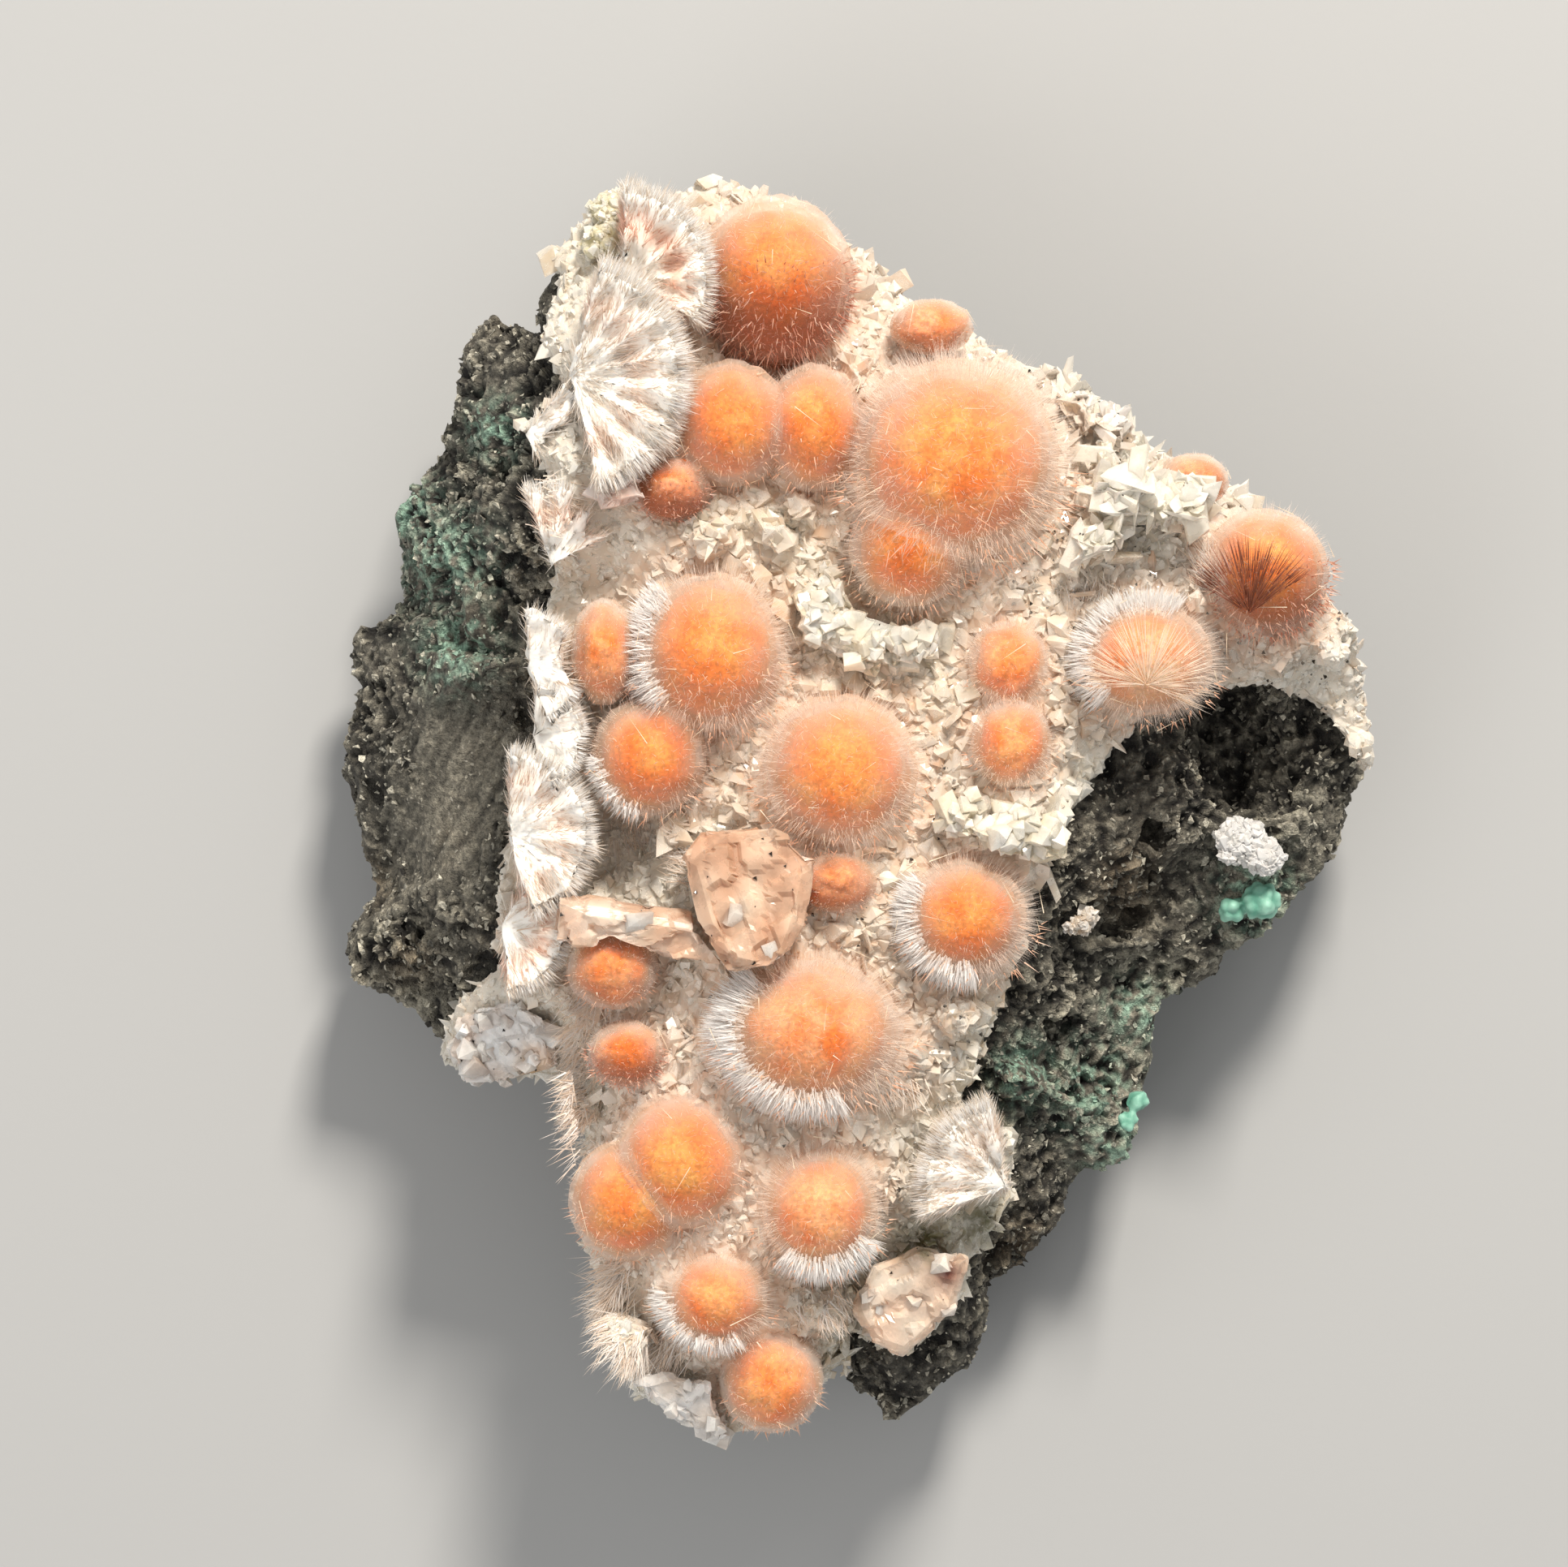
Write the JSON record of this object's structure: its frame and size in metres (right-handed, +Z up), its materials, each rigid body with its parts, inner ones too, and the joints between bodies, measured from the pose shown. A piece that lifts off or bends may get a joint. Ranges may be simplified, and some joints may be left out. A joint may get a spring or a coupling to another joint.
{
  "type": "thomsonite and mesolite specimen",
  "caption": "Hand specimen of orange thomsonite balls tipped with mesolite needles, on a crust of pale crystals over dark basalt, lying flat with its crystal face up.",
  "frame": {"origin": "under the middle of the specimen, on the surface that it rests on", "axes": "+Z up, out of the crystal face; +Y towards the narrow top end of the crystal face; +X to the right, towards the arched rim over the hollow"},
  "size_m": [0.0786, 0.0944, 0.0382],
  "materials": {
    "basalt": "rough broken rock",
    "crystal_crust": "translucent small crystals",
    "thomsonite": "fibrous, silky",
    "mesolite": "fine translucent needles",
    "clear_crystal": "cloudy glassy crystal",
    "cream_crystal": "cloudy lumps",
    "celadonite": "dull green",
    "white_zeolite": "chalky white"
  },
  "bodies": {
    "root": {"basalt_matrix": "basalt", "crystal_crust": "crystal_crust", "ball_large_twin": "thomsonite", "ball_collared": "thomsonite", "ball_centre": "thomsonite", "ball_left_middle": "thomsonite", "ball_lower_twin": "thomsonite", "ball_top": "thomsonite", "ball_lower_right": "thomsonite", "ball_upper_tall": "thomsonite", "ball_upper_left": "thomsonite", "ball_left_low": "thomsonite", "ball_right_twin": "thomsonite", "ball_cut_right": "thomsonite", "ball_lower_middle": "thomsonite", "ball_bottom": "thomsonite", "ball_rim_broken": "thomsonite", "ball_rim_dark": "thomsonite", "ball_left_edge": "thomsonite", "ball_left_small": "thomsonite", "ball_left_buried": "thomsonite", "ball_upper_red": "thomsonite", "ball_back_small": "thomsonite", "ball_rim_pink": "thomsonite", "ball_below_centre": "thomsonite", "fan_top_left": "mesolite", "fan_white_left": "mesolite", "fan_upper_edge": "mesolite", "fan_cleaved_edge": "mesolite", "fan_left_edge_high": "mesolite", "fan_left_edge": "mesolite", "fan_left_edge_low": "mesolite", "fan_left_foot": "mesolite", "fan_lower_right": "mesolite", "crystal_cloudy_plate": "clear_crystal", "crystal_long_slab": "clear_crystal", "crystal_blades_upper_right": "clear_crystal", "crystal_group_right": "clear_crystal", "crystal_blocks_middle": "clear_crystal", "crystal_rim_group": "clear_crystal", "crystal_pink_plate": "clear_crystal", "crystal_coated_plate": "clear_crystal", "crystal_bottom_block": "clear_crystal", "block_bottom_left": "clear_crystal", "lumps_cream": "cream_crystal", "spherules_green_right": "celadonite", "spherules_green_low": "celadonite", "patch_white": "white_zeolite", "patch_beige": "white_zeolite"}
  },
  "joints": []
}
